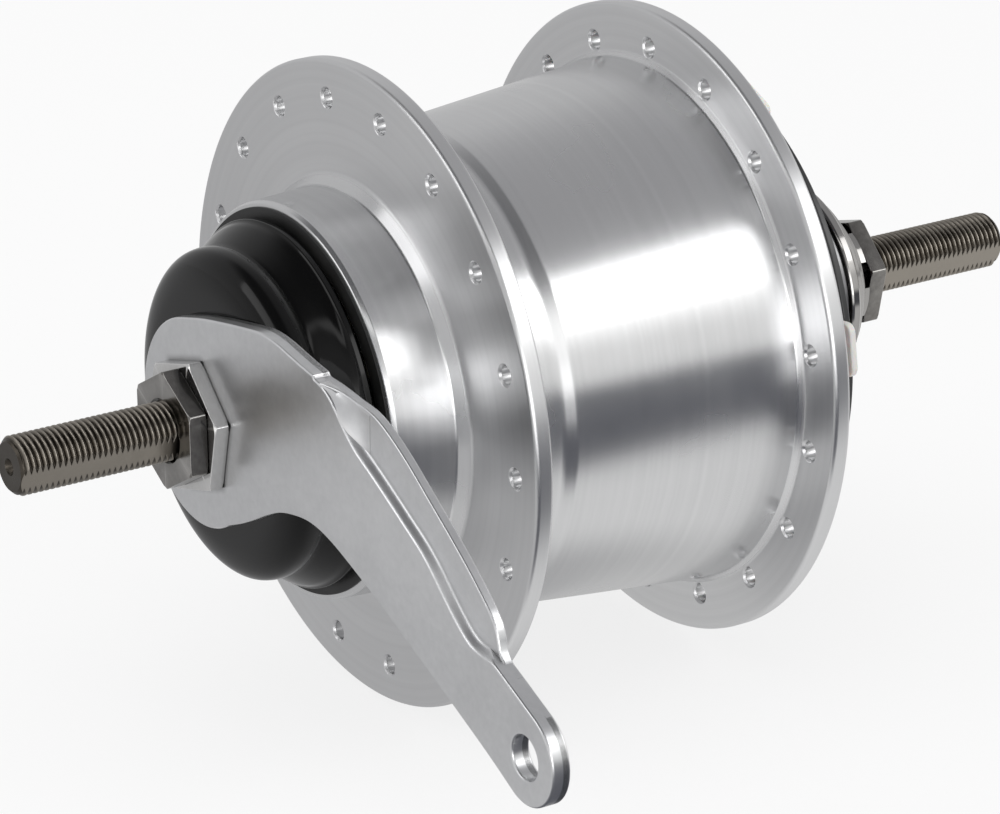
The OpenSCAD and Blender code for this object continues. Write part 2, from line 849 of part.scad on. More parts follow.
module shift_ring() {
    lug = [63.3, 29.9];
    color([0.86, 0.86, 0.86])
        difference() {
            union() {
                slab(88.2, 90.6)
                    ring2d(9.6, 6.4);
                slab(90.5, 91.8)
                    intersection() {
                        ring2d(9.6, 7.4);
                        for (k = [0 : 5])
                            rotate(60 * k + (lug[0] + lug[1]) / 2)
                                wedge2d(20, -17, 17);
                    }
            }
            slab(88, 91.01)
                intersection() {
                    ring2d(sleeve_r + 0.02, 6.1);
                    for (k = [0 : 2])
                        rotate(120 * k + finger_lead)
                            wedge2d(20, -finger_a / 2 - 0.2, finger_a / 2 + 0.2);
                }
        }
}

module right_cone() {
    rr = ball_right_r + play;
    color([0.62, 0.62, 0.63])
        difference() {
            lathe(concat([[71.3, sleeve_r + 0.2], [71.3, 10.2]],
                arc(ball_right_y, ball_right_p, rr, -105, 0, 12),
                [[77.7, ball_right_p], [77.9, 15.3], [82.7, 15.3], [82.7, 13], [87.8, 10.3], [87.8, 5.95], [92.4, 5.95],
                [92.4, thread_seat_r], [85.4, thread_seat_r], [85.4, sleeve_r + 0.2]]));
            slab(85, 89)
                intersection() {
                    ring2d(sleeve_r + 0.2, 5.95);
                    for (k = [0 : 2])
                        rotate(120 * k)
                            wedge2d(20, -window_a / 2, window_a / 2);
                }
        }
}

module cone_cap() {
    color([0.86, 0.86, 0.86])
        lathe([[82.7, 13], [82.7, 17.1], [83.1, 17.3], [84.2, 17.3], [84.6, 16.9], [85, 15.6], [86.6, 14.9], [87.1, 13.2],
            [88.7, 12.4], [89.2, 10.9], [90, 10.7], [90.3, 10.4], [90.3, 9.9], [88.4, 9.9], [88.2, 11], [86.4, 12],
            [84.6, 13.4], [84.2, 15.3], [83.9, 15.5], [83.5, 15.3], [83.5, 13]]);
}

module right_locknut() {
    color([0.74, 0.73, 0.72])
        difference() {
            hexnut(92.4, right_face, locknut_af, 18, 0.7);
            rod(92, right_face + 1, thread_seat_r);
        }
}

axle();
left_locknut();
arm_nut();
brake_arm();
left_cap();
brake_cone();
brake_anchor();
fixed_sun();
sun_washer();
right_cone();
cone_cap();
right_locknut();
hub_shell();
left_seal();
left_cup();
brake_drum();
right_ball_ring();
drive_cover();
lobe_ring();
left_balls();
left_cage();
middle_balls();
middle_cage();
right_balls();
right_cage();
brake_cam();
shoe_a();
shoe_b();
shoe_c();
ring_gear();
pawl_plate();
pawl_pins();
pawl_a();
pawl_b();
pawl_c();
planet_carrier();
planet_pins();
planet_a();
planet_b();
planet_c();
free_sun();
shift_clutch();
driver();
dust_disc();
shift_sleeve();
shift_ring();
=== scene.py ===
"""Looks of the geared hub: turned shell, drawn cap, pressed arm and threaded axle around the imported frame.

The axle runs along Y with the drive side at +Y. Sizes are in millimetres and are scaled when a mesh is made.
Shader values are in metres, as Blender's own units are.
"""

import json
import math

import bmesh
import bpy
from mathutils import Matrix, Vector, geometry


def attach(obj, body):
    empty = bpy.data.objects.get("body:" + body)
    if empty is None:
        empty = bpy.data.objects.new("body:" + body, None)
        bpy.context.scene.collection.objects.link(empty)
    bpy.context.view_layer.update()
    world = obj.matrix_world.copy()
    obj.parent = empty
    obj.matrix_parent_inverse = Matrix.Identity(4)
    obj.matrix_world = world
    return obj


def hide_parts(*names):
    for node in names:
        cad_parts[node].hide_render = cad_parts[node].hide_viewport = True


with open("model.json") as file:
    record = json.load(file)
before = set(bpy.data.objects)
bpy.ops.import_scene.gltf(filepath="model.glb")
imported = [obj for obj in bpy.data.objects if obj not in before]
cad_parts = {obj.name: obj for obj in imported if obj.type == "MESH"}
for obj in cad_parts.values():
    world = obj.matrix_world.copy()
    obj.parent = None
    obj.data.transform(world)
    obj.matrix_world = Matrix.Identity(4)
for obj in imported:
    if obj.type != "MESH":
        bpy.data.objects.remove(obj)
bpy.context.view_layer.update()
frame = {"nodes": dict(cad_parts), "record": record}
nodes = frame["nodes"]
scene = bpy.context.scene


# Sizes in millimetres and degrees

MM = 0.001

FLANGE_SPAN = 55.1
FLANGE_R = 52.45
FLANGE_HALF = 1.5
SPOKE_CIRCLE_R = 46.3
SPOKE_R = 1.5
SPOKE_COUNT = 18
SPOKE_LEADS = ((0, 0.82), (FLANGE_SPAN, -9.28))

AXLE_R = 4.7625
LEFT_END = -63.2
RIGHT_END = 123.8
FLAT_HALF = 4.05
FLAT_ANGLE = -19
FLATS_FROM = (-30, 88)
THREAD_FROM = (-28.2, 88.8)
THREAD_PITCH = 25.4 / 26
THREAD_DEPTH = 0.56
THREAD_CREST = 0.14
THREAD_FLANK = 0.74
AXLE_CHAMFER = 0.85
CHAMFER_SLOPE = 0.95
END_FACE_R = 3.85
# depth of each ring of the centre hole, and its share of the end face's radius
CENTRE_HOLE = ((0.0, 0.8), (0.0, 0.36), (0.5, 0.28), (1.5, 0.02))

NUT_BORE_R = 4.79
NUT_FLARE = 0.45
NUT_FLARE_DEPTH = 0.4
NUT_EDGE_R = 0.13
NUT_CORNER_R = 0.3

COVER_FROM = FLANGE_SPAN + FLANGE_HALF
COVER_FACE = 63.6

ARM_FRONT = -30.85
ARM_BACK = -27.75
RECESS = 1.45
HEAD_R = 16.8
BOSS_R = 9.05
TIP = (94.8, -17.9)
TIP_R = 7.4
HOLE_R = 3.4
STEP_X = 41.2

LOBE_BACK = 62.4
LOBE_COUNT = 6
LOBE_LEAD = 9
LOBE_HALF = 4.4
LOBE_CORNER = 1.6
LOBE_R = 44.8
LOBE_RING_R = 41.2
LOBE_BORE_R = 39.9


# Camera, at the photograph's viewing angle

AZIMUTH = math.radians(57.6717)
ELEVATION = math.radians(22.3738)
DISTANCE = 759.80
AIM_RIGHT = 21.20
AIM_UP = -3.714

level = math.cos(ELEVATION)
right = Vector((math.cos(AZIMUTH), math.sin(AZIMUTH), 0))
back = Vector((math.sin(AZIMUTH) * level, -math.cos(AZIMUTH) * level, math.sin(ELEVATION)))
up = back.cross(right)
camera_data = bpy.data.cameras.new("camera")
camera_data.lens = 172.58
camera_data.sensor_width = 36
camera_data.clip_start = 0.05
camera = bpy.data.objects.new("camera", camera_data)
camera.location = (right * AIM_RIGHT + up * AIM_UP + back * DISTANCE) * MM
camera.rotation_euler = Matrix((right, up, back)).transposed().to_euler()
scene.collection.objects.link(camera)
scene.camera = camera


# Shader helpers


def mix_colour(tree, factor, a, b):
    """A mix of two colours, driven by a factor socket. a and b are sockets or plain colours."""
    node = tree.nodes.new("ShaderNodeMix")
    node.data_type = "RGBA"
    tree.links.new(factor, node.inputs["Factor"])
    for key, value in (("A", a), ("B", b)):
        if isinstance(value, tuple):
            node.inputs[key].default_value = (*value, 1)
        else:
            tree.links.new(value, node.inputs[key])
    return node.outputs["Result"]


def mix_shaders(tree, factor, a, b):
    """A mix of two shader sockets."""
    node = tree.nodes.new("ShaderNodeMixShader")
    tree.links.new(factor, node.inputs[0])
    tree.links.new(a, node.inputs[1])
    tree.links.new(b, node.inputs[2])
    return node.outputs[0]


def spread(tree, value, low, high, out_low, out_high):
    """Maps a value range to another one, clamped."""
    node = tree.nodes.new("ShaderNodeMapRange")
    node.inputs["From Min"].default_value = low
    node.inputs["From Max"].default_value = high
    node.inputs["To Min"].default_value = out_low
    node.inputs["To Max"].default_value = out_high
    tree.links.new(value, node.inputs["Value"])
    return node.outputs["Result"]


def rise(tree, value, low, high):
    """From 0 at low to 1 at high, with soft ends."""
    result = spread(tree, value, low, high, 0, 1)
    result.node.interpolation_type = "SMOOTHSTEP"
    return result


def drop(tree, value, low, high):
    """From 1 at low to 0 at high, with soft ends."""
    result = spread(tree, value, low, high, 1, 0)
    result.node.interpolation_type = "SMOOTHSTEP"
    return result


def maths(tree, operation, a, b=None):
    """One arithmetic step; a and b are sockets or numbers."""
    node = tree.nodes.new("ShaderNodeMath")
    node.operation = operation
    for k, v in enumerate((a, b)):
        if v is None:
            continue
        if isinstance(v, (int, float)):
            node.inputs[k].default_value = v
        else:
            tree.links.new(v, node.inputs[k])
    return node.outputs[0]


def product(tree, *values):
    """All values multiplied; they are sockets or numbers."""
    result = values[0]
    for value in values[1:]:
        result = maths(tree, "MULTIPLY", result, value)
    return result


def weighted_sum(tree, a, weight_a, b, weight_b):
    """a times its weight plus b times its weight."""
    return maths(tree, "ADD", product(tree, a, weight_a), product(tree, b, weight_b))


def split_xyz(tree, vector):
    """The three parts of a vector socket."""
    node = tree.nodes.new("ShaderNodeSeparateXYZ")
    tree.links.new(vector, node.inputs[0])
    return node.outputs


def flat_length(tree, a, b):
    """The length of a vector with the parts a and b."""
    return maths(tree, "SQRT", weighted_sum(tree, a, a, b, b))


def object_position(tree):
    """The place on the piece, in its own frame."""
    return tree.nodes.new("ShaderNodeTexCoord").outputs["Object"]


def noise(tree, vector, scale, detail=3):
    """A noise texture's value."""
    node = tree.nodes.new("ShaderNodeTexNoise")
    node.inputs["Scale"].default_value = scale
    node.inputs["Detail"].default_value = detail
    node.inputs["Roughness"].default_value = 0.55
    tree.links.new(vector, node.inputs["Vector"])
    return node.outputs["Fac"]


def ring_noise(tree, along, radius, pitch, detail):
    """Noise that runs round the axle in rings, pitch of them to the metre."""
    node = tree.nodes.new("ShaderNodeCombineXYZ")
    tree.links.new(product(tree, along, pitch), node.inputs[0])
    tree.links.new(product(tree, radius, pitch), node.inputs[1])
    return noise(tree, node.outputs[0], 1, detail)


def new_material(name, roughness, metallic=0.0, **constants):
    """A material with a Principled shader. Constants are set on its own sockets."""
    material = bpy.data.materials.new(name)
    material.use_nodes = True
    tree = material.node_tree
    shader = tree.nodes["Principled BSDF"]
    shader.inputs["Roughness"].default_value = roughness
    shader.inputs["Metallic"].default_value = metallic
    for key, value in constants.items():
        shader.inputs[key.replace("_", " ")].default_value = value
    return material, tree, shader


def add_bump(tree, shader, height, strength, distance):
    """A bump map on the shader's normal."""
    bump = tree.nodes.new("ShaderNodeBump")
    bump.inputs["Strength"].default_value = strength
    bump.inputs["Distance"].default_value = distance
    tree.links.new(height, bump.inputs["Height"])
    tree.links.new(bump.outputs["Normal"], shader.inputs["Normal"])


def painted_corner_shade(tree, colour, reach, strength):
    """Darkens a colour in corners and under neighbours: painted shade."""
    near = tree.nodes.new("ShaderNodeAmbientOcclusion")
    near.samples = 8
    near.inputs["Distance"].default_value = reach
    amount = maths(tree, "POWER", near.outputs["AO"], strength)
    return mix_colour(tree, amount, (0.02, 0.019, 0.018), colour)


# Materials


def turned_metal(name, dark, light, roughness, groove=0.00002, faced=0.0):
    """Lathe-turned metal: fine rings about the axle, a soft streaky sheen and faint stains.

    faced is how much duller the flanges are.
    """
    material, tree, shader = new_material(name, roughness, 1.0, Anisotropic=0.7, Anisotropic_Rotation=0.25)
    coord = object_position(tree)
    x, along, z = split_xyz(tree, coord)
    radius = flat_length(tree, x, z)
    rings = ring_noise(tree, along, radius, 2600, 2)
    bands = ring_noise(tree, along, radius, 900, 3)
    stains = noise(tree, coord, 42, 4)
    tone = spread(tree, weighted_sum(tree, bands, 0.6, stains, 0.4), 0.3, 0.7, 0, 1)
    tree.links.new(mix_colour(tree, tone, dark, light), shader.inputs["Base Color"])
    rough = spread(tree, stains, 0.3, 0.7, roughness - 0.03, roughness + 0.04)
    if faced:
        left = maths(tree, "LESS_THAN", maths(tree, "ABSOLUTE", along), (FLANGE_HALF + 0.4) * MM)
        drive = maths(tree, "GREATER_THAN", along, (FLANGE_SPAN - FLANGE_HALF - 0.3) * MM)
        rough = maths(tree, "ADD", rough, product(tree, maths(tree, "MAXIMUM", left, drive), faced))
    tree.links.new(rough, shader.inputs["Roughness"])
    add_bump(tree, shader, rings, 0.3, groove)
    tangent = tree.nodes.new("ShaderNodeTangent")
    tangent.direction_type = "RADIAL"
    tangent.axis = "Y"
    tree.links.new(tangent.outputs[0], shader.inputs["Tangent"])
    return material


def plain_metal(name, dark, light, roughness, grain=900, bump=0.00001, worn=None, corner=None):
    """Rolled, plated or ground metal: fine grain and a cloudy tone.

    worn is the colour of rubbed edges, corner the reach and strength of the painted shade in corners.
    """
    material, tree, shader = new_material(name, roughness, 1.0)
    coord = object_position(tree)
    fine = noise(tree, coord, grain, 4)
    cloud = noise(tree, coord, 60, 4)
    tone = spread(tree, weighted_sum(tree, fine, 0.45, cloud, 0.55), 0.36, 0.64, 0, 1)
    colour = mix_colour(tree, tone, dark, light)
    if worn:
        edge = spread(tree, tree.nodes.new("ShaderNodeNewGeometry").outputs["Pointiness"], 0.51, 0.56, 0, 1)
        colour = mix_colour(tree, product(tree, edge, spread(tree, cloud, 0.3, 0.6, 0.5, 1)), colour, worn)
    # corner paints shade into the colour in corners and under neighbours
    if corner:
        colour = painted_corner_shade(tree, colour, *corner)
    tree.links.new(colour, shader.inputs["Base Color"])
    rough = spread(tree, cloud, 0.3, 0.7, roughness - 0.05, roughness + 0.06)
    tree.links.new(rough, shader.inputs["Roughness"])
    add_bump(tree, shader, fine, 0.4, bump)
    return material


def black_coat(name, dark, light, roughness, coat=0.0, grain=700, bump=0.00001, gloss=0.5):
    """Paint or plastic: near black with a little unevenness and dust."""
    material, tree, shader = new_material(
        name, roughness, Coat_Weight=coat, Coat_Roughness=0.06, Specular_IOR_Level=gloss)
    coord = object_position(tree)
    cloud = noise(tree, coord, 90, 4)
    tone = spread(tree, cloud, 0.35, 0.7, 0, 1)
    tree.links.new(mix_colour(tree, tone, dark, light), shader.inputs["Base Color"])
    rough = spread(tree, cloud, 0.3, 0.7, roughness * 0.85, roughness * 1.2)
    tree.links.new(rough, shader.inputs["Roughness"])
    add_bump(tree, shader, noise(tree, coord, grain), 0.3, bump)
    return material


def thread_steel():
    """Dark oxide on the axle, rubbed brighter on the thread's crests and the flats, blacker in the roots."""
    material, tree, shader = new_material("axle_oxide", 0.34, 1.0)
    coord = object_position(tree)
    x, _, z = split_xyz(tree, coord)
    radius = flat_length(tree, x, z)
    cloud = noise(tree, coord, 260, 4)
    lead = math.radians(FLAT_ANGLE)
    across = maths(tree, "ABSOLUTE", weighted_sum(tree, x, math.cos(lead), z, math.sin(lead)))
    rubbed = spread(tree, cloud, 0.25, 0.65, 0.45, 1)
    crest = product(tree, spread(tree, radius, (AXLE_R - 0.4125) * MM, (AXLE_R - 0.0025) * MM, 0, 1), rubbed)
    flat = spread(tree, across, (FLAT_HALF - 0.08) * MM, (FLAT_HALF - 0.03) * MM, 0, 0.75)
    bright = maths(tree, "MAXIMUM", crest, flat)
    colour = mix_colour(tree, bright, (0.075, 0.066, 0.055), (0.42, 0.385, 0.335))
    tree.links.new(colour, shader.inputs["Base Color"])
    tree.links.new(spread(tree, cloud, 0.3, 0.7, 0.26, 0.42), shader.inputs["Roughness"])
    add_bump(tree, shader, noise(tree, coord, 1500), 0.4, 0.00001)
    return material


def milky_nylon():
    """Moulded white nylon with a little light going through."""
    material, tree, shader = new_material("white_nylon", 0.42, Subsurface_Weight=0.25, Subsurface_Scale=0.002)
    coord = object_position(tree)
    cloud = noise(tree, coord, 180, 4)
    colour = mix_colour(tree, cloud, (0.76, 0.75, 0.71), (0.9, 0.89, 0.86))
    tree.links.new(colour, shader.inputs["Base Color"])
    tree.links.new(spread(tree, cloud, 0.3, 0.7, 0.36, 0.48), shader.inputs["Roughness"])
    add_bump(tree, shader, noise(tree, coord, 900), 0.25, 0.00001)
    return material


finish = {
    "shell_alloy": turned_metal(
        "shell_alloy", (0.71, 0.712, 0.718), (0.78, 0.782, 0.788), 0.25, 0.000008, faced=0.07),
    # zinc and nut_zinc carry painted shade in their corners
    "zinc": plain_metal(
        "zinc", (0.72, 0.725, 0.735), (0.8, 0.805, 0.815), 0.33, 800, 0.000006,
        worn=(0.9, 0.9, 0.905), corner=(0.0012, 1.0)),
    "nut_zinc": plain_metal(
        "nut_zinc", (0.74, 0.735, 0.725), (0.84, 0.835, 0.825), 0.15, 900, 0.000004,
        worn=(0.9, 0.89, 0.88), corner=(0.004, 0.4)),
    "dark_nut": plain_metal(
        "dark_nut", (0.09, 0.088, 0.085), (0.16, 0.157, 0.15), 0.3, worn=(0.34, 0.335, 0.325)),
    "axle_steel": thread_steel(),
    "black_gloss": black_coat(
        "black_gloss", (0.002, 0.002, 0.002), (0.003, 0.003, 0.003), 0.1, grain=500, bump=0.000002, gloss=0.27),
    "black_matte": black_coat("black_matte", (0.01, 0.01, 0.011), (0.022, 0.022, 0.023), 0.42),
    "rubber_black": black_coat("rubber_black", (0.008, 0.008, 0.008), (0.02, 0.02, 0.02), 0.5, grain=1200),
    "dark_steel": black_coat("dark_steel", (0.018, 0.018, 0.019), (0.035, 0.035, 0.036), 0.3, coat=0.2),
    "race_steel": turned_metal("race_steel", (0.42, 0.42, 0.425), (0.58, 0.58, 0.585), 0.24),
    "gear_steel": plain_metal(
        "gear_steel", (0.3, 0.3, 0.305), (0.44, 0.44, 0.445), 0.33, 700, worn=(0.6, 0.6, 0.6)),
    "ball_steel": plain_metal("ball_steel", (0.72, 0.72, 0.73), (0.8, 0.8, 0.81), 0.08, 400, 0.000001),
    "cage_steel": plain_metal("cage_steel", (0.42, 0.4, 0.34), (0.56, 0.54, 0.47), 0.36),
    "cone_chrome": turned_metal("cone_chrome", (0.38, 0.37, 0.36), (0.49, 0.48, 0.465), 0.12, 0.000004),
    "white_nylon": milky_nylon(),
    "bronze": turned_metal("bronze", (0.5, 0.38, 0.2), (0.66, 0.52, 0.3), 0.32),
    "lining": plain_metal("lining", (0.2, 0.17, 0.145), (0.34, 0.3, 0.26), 0.55, 1400, 0.00004),
    "driver_steel": turned_metal("driver_steel", (0.2, 0.2, 0.205), (0.32, 0.32, 0.325), 0.3),
}
# A copy of nut_zinc for the locknuts, painted darker as painted shade, with pale edges and strong painted shade
# in corners.
shade_painted_zinc = plain_metal(
    "shade_painted_zinc", (0.17, 0.162, 0.155), (0.29, 0.28, 0.265), 0.15, 900, 0.000004,
    worn=(0.8, 0.78, 0.75), corner=(0.006, 2.0))


# Mesh helpers


def welded_mesh(name, verts, faces):
    """A mesh from millimetre points, with shared points welded and faces turned outwards."""
    mesh = bpy.data.meshes.new(name)
    mesh.from_pydata([Vector(v) * MM for v in verts], [], faces)
    mesh.validate()
    bm = bmesh.new()
    bm.from_mesh(mesh)
    bmesh.ops.remove_doubles(bm, verts=bm.verts, dist=1e-7)
    bmesh.ops.recalc_face_normals(bm, faces=bm.faces)
    bm.to_mesh(mesh)
    bm.free()
    return mesh


def make_object(name, verts, faces, body, replaced, slot, sharp=32):
    """A shaded object from millimetre points, riding on its body in place of a CAD node."""
    mesh = welded_mesh(name, verts, faces)
    mesh.shade_smooth()
    mesh.set_sharp_from_angle(angle=math.radians(sharp))
    obj = bpy.data.objects.new(name, mesh)
    scene.collection.objects.link(obj)
    obj.data.materials.append(finish[slot])
    weighted = obj.modifiers.new("flat_faces", "WEIGHTED_NORMAL")
    weighted.keep_sharp = True
    weighted.weight = 80
    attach(obj, body)
    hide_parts(replaced)
    return obj


def rounded(points, steps=5):
    """A closed section of [a, b] or [a, b, radius]; a corner with a radius becomes an arc."""
    out = []
    n = len(points)
    for i, point in enumerate(points):
        corner = Vector(point[:2])
        radius = point[2] if len(point) > 2 else 0
        before = Vector(points[i - 1][:2]) - corner
        after = Vector(points[(i + 1) % n][:2]) - corner
        angle = before.angle(after) if radius else 0
        if not radius or angle > math.radians(176):
            out.append(corner)
            continue
        cut = min(radius / math.tan(angle / 2), 0.49 * before.length, 0.49 * after.length)
        arc_radius = cut * math.tan(angle / 2)
        inward = (before.normalized() + after.normalized()).normalized()
        centre = corner + inward * arc_radius / math.sin(angle / 2)
        start = corner + before.normalized() * cut - centre
        end = corner + after.normalized() * cut - centre
        sweep = start.angle_signed(end)
        for k in range(steps + 1):
            out.append(centre + turned_by(start, -sweep * k / steps))
    return out


def turned_by(v, a):
    """A flat vector turned by an angle in radians."""
    return Vector((v.x * math.cos(a) - v.y * math.sin(a), v.x * math.sin(a) + v.y * math.cos(a)))


def polar(y, r, angle):
    """A point at radius r and an angle in degrees from +X towards +Z."""
    a = math.radians(angle)
    return (r * math.cos(a), y, r * math.sin(a))


def row_faces(rows, n, start=0, closed=False):
    """Faces between rows of n points, each row a loop. closed joins the last row to the first."""
    faces = []
    for i in range(rows if closed else rows - 1):
        a = start + i * n
        b = start + (i + 1) % rows * n
        faces += [(a + s, a + (s + 1) % n, b + (s + 1) % n, b + s) for s in range(n)]
    return faces


def lathe_mesh(section, segments=192, centre=(0, 0)):
    """Rings of a closed [y, r] section turned about the axle, or about a parallel line through centre."""
    verts = []
    faces = []
    for y, r in section:
        for s in range(segments):
            x, _, z = polar(y, max(r, 0.0), 360 * s / segments)
            verts.append((x + centre[0], y, z + centre[1]))
    for i, face in enumerate(row_faces(len(section), segments, closed=True)):
        row = i // segments
        if max(section[row][1], section[(row + 1) % len(section)][1]) > 1e-6:
            faces.append(face)
    return verts, faces


def join_meshes(parts):
    """Several (verts, faces) lists as one."""
    verts = []
    faces = []
    for v, f in parts:
        faces += [tuple(i + len(verts) for i in face) for face in f]
        verts += v
    return verts, faces


def turned(name, section, body, replaced, slot, segments=192, sharp=32):
    """A turned piece."""
    verts, faces = lathe_mesh(rounded(section), segments)
    return make_object(name, verts, faces, body, replaced, slot, sharp)


def offset_loop(loop, distances):
    """Moves each point of a counter-clockwise loop inwards by its own distance."""
    n = len(loop)
    out = []
    for i in range(n):
        a = loop[i] - loop[i - 1]
        b = loop[(i + 1) % n] - loop[i]
        tangent = (a.normalized() + b.normalized()).normalized()
        out.append(loop[i] + Vector((-tangent.y, tangent.x)) * distances[i])
    return out


def plate_mesh(outer, holes, y0, y1, edge, edge_back=None, slope=None):
    """A flat plate in the X-Z plane with rounded edges. Outer is counter-clockwise, holes are (x, z, radius).

    slope is (share for each outer point, width, depth): where the share is 1, the front edge falls away
    in a soft wave.
    """
    edge_back = edge_back or edge
    share, wide, deep = slope or ([0] * len(outer), 0, 0)
    steps = 8
    quarter = [math.pi / 2 * k / steps for k in range(steps + 1)]
    section = [(edge * (1 - math.sin(t)), y0 + edge * (1 - math.cos(t))) for t in quarter]
    section += [(edge_back * (1 - math.cos(t)), y1 - edge_back * (1 - math.sin(t))) for t in quarter]
    verts = []
    for row, (inset, y) in enumerate(section):
        k = row / steps
        wave = (wide * (1 - k), y0 + deep * k * k * (3 - 2 * k)) if row <= steps else (inset, y)
        amount = [inset + (wave[0] - inset) * s for s in share]
        verts += [(p.x, y + (wave[1] - y) * s, p.y) for p, s in zip(offset_loop(outer, amount), share)]
    n = len(outer)
    faces = row_faces(len(section), n)
    rims = []
    m = 72
    for x, z, r in holes:
        start = len(verts)
        for inset, y in section:
            for k in range(m):
                a = -2 * math.pi * k / m
                verts.append((x + (r + inset) * math.cos(a), y, z + (r + inset) * math.sin(a)))
        faces += row_faces(len(section), m, start)
        rims.append(start)
    for row in (0, len(section) - 1):
        loops = [list(range(row * n, row * n + n))]
        loops += [list(range(start + row * m, start + row * m + m)) for start in rims]
        flat = [[Vector((verts[i][0], verts[i][2], 0)) for i in loop] for loop in loops]
        order = [i for loop in loops for i in loop]
        faces += [tuple(order[i] for i in tri) for tri in geometry.tessellate_polygon(flat)]
    return verts, faces


def smooth_path(points, spacing=1.0):
    """A Catmull-Rom curve through points, sampled about every spacing millimetres, ends included."""
    pts = [Vector(p) for p in points]
    pts = [pts[0] * 2 - pts[1]] + pts + [pts[-1] * 2 - pts[-2]]
    out = []
    for i in range(1, len(pts) - 2):
        p0, p1, p2, p3 = pts[i - 1:i + 3]
        square = 2 * p0 - 5 * p1 + 4 * p2 - p3
        cube = 3 * p1 - p0 - 3 * p2 + p3
        count = max(2, int((p2 - p1).length / spacing))
        for k in range(count):
            t = k / count
            out.append(0.5 * (2 * p1 + (p2 - p0) * t + square * t * t + cube * t ** 3))
    out.append(pts[-2])
    return out


def arc_path(centre, radius, start, end, step=4):
    """Points on an arc from start to end degrees, ends left out."""
    count = max(2, int(abs(end - start) / step))
    angles = [math.radians(start + (end - start) * k / count) for k in range(1, count)]
    return [Vector((centre[0] + radius * math.cos(a), centre[1] + radius * math.sin(a))) for a in angles]


def cut_with(obj, verts, faces):
    """Subtracts a closed mesh from obj."""
    cutter = bpy.data.objects.new("cutter", welded_mesh("cutter", verts, faces))
    scene.collection.objects.link(cutter)
    boolean = obj.modifiers.new("cut", "BOOLEAN")
    boolean.operation = "DIFFERENCE"
    boolean.solver = "EXACT"
    boolean.object = cutter
    weighted = obj.modifiers["flat_faces"]
    weighted.show_viewport = False
    bpy.context.view_layer.update()
    depsgraph = bpy.context.evaluated_depsgraph_get()
    baked = bpy.data.meshes.new_from_object(obj.evaluated_get(depsgraph))
    weighted.show_viewport = True
    obj.modifiers.remove(boolean)
    obj.data = baked
    obj.data.shade_smooth()
    obj.data.set_sharp_from_angle(angle=math.radians(30))
    bpy.data.objects.remove(cutter)


# Hub shell

shell_section = [
    (-14.0, 31.1), (-14.0, 31.62, 0.35), (-13.2, 32.0, 0.5), (-3.3, 32.55, 0.8), (-FLANGE_HALF, 34.35, 1.0),
    (-FLANGE_HALF, FLANGE_R, 0.7), (FLANGE_HALF, FLANGE_R, 0.5),
    (FLANGE_HALF, 41.2, 1.0), (2.0, 39.9, 1.0), (3.2, 39.15, 1.5), (4.9, 38.9, 1.0), (12.1, 39.05, 4),
    (14.2, 39.65, 3), (51.2, 43.4, 1.0), (52.7, 43.6, 0.8), (FLANGE_SPAN - FLANGE_HALF, 44.5, 0.4),
    (FLANGE_SPAN - FLANGE_HALF, FLANGE_R, 0.7), (FLANGE_SPAN + FLANGE_HALF, FLANGE_R, 0.6),
    (FLANGE_SPAN + FLANGE_HALF, 38.5), (43.5, 38.5), (43.5, 35.0), (7.0, 35.0), (7.0, 30.0), (-10.0, 30.0),
    (-10.0, 31.1),
]
half_hole = [
    (-2.2, 0), (-2.2, SPOKE_R + 0.5), (-1.52, SPOKE_R + 0.42), (-1.44, SPOKE_R + 0.3, 0.12),
    (-1.1, SPOKE_R + 0.02, 0.2),
]
hole_section = rounded(half_hole + [(-y, *rest) for y, *rest in reversed(half_hole)])


def build_shell():
    """The turned shell with its countersunk spoke holes."""
    shell = turned("shell_turned", shell_section, "shell", "hub_shell", "shell_alloy", 360, 30)
    cutters = []
    for middle, lead in SPOKE_LEADS:
        section = [(y + middle, r) for y, r in hole_section]
        for k in range(SPOKE_COUNT):
            x, _, z = polar(0, SPOKE_CIRCLE_R, lead + 360 / SPOKE_COUNT * k)
            cutters.append(lathe_mesh(section, 32, (x, z)))
    cut_with(shell, *join_meshes(cutters))


build_shell()


# Left dust cap, drawn from one sheet, and the seal round it

cap_dome = smooth_path([
    (-27.75, 13.0), (-27.72, 18.0), (-27.45, 21.7), (-26.6, 24.5), (-25.2, 26.1), (-23.5, 26.6), (-22.1, 26.45),
    (-21.3, 26.2)], 0.35)
cap_flare = smooth_path([(-21.0, 26.35), (-20.0, 27.1), (-18.8, 28.0), (-17.6, 28.8), (-16.7, 29.2)], 0.35)
cap_lip = [(-16.4, 29.6, 0.3), (-15.3, 29.6, 0.3), (-15.3, 28.5, 0.3)]
cap_inner = [
    (-16.3, 28.1, 0.8), (-20.9, 25.3, 1.0), (-23.0, 25.5, 1.5), (-25.6, 23.6, 2), (-26.85, 19.0, 2),
    (-26.9, 9.1, 0.1)]
cap_section = [(-27.75, 9.1, 0.3)] + [tuple(p) for p in cap_dome + cap_flare] + cap_lip + cap_inner
turned("cap_drawn", cap_section, "axle_set", "left_cap", "black_gloss", 256)

seal_section = [
    (-14.3, 31.1, 0.1), (-14.3, 28.1, 0.25), (-14.05, 27.6, 0.2), (-13.5, 27.6, 0.2), (-13.2, 28.9, 0.3),
    (-12.1, 29.4, 0.2), (-11.0, 29.4, 0.1), (-11.0, 31.1, 0.1)]
turned("seal_lip", seal_section, "shell", "left_seal", "rubber_black", 256)


# Nuts: hexagons whose corners are turned off at both ends


def hex_loop(flats, lead):
    """A hexagon with small round corners and points that gather towards them."""
    corner = flats / math.sqrt(3)
    points = rounded([polar(0, corner, lead + 60 * s)[::2] + (NUT_CORNER_R,) for s in range(6)], 4)
    loop = []
    for i, point in enumerate(points):
        after = points[(i + 1) % len(points)]
        count = 12 if (after - point).length > 2 else 1
        loop += [point.lerp(after, 0.5 - 0.5 * math.cos(math.pi * k / count)) for k in range(count)]
    return loop


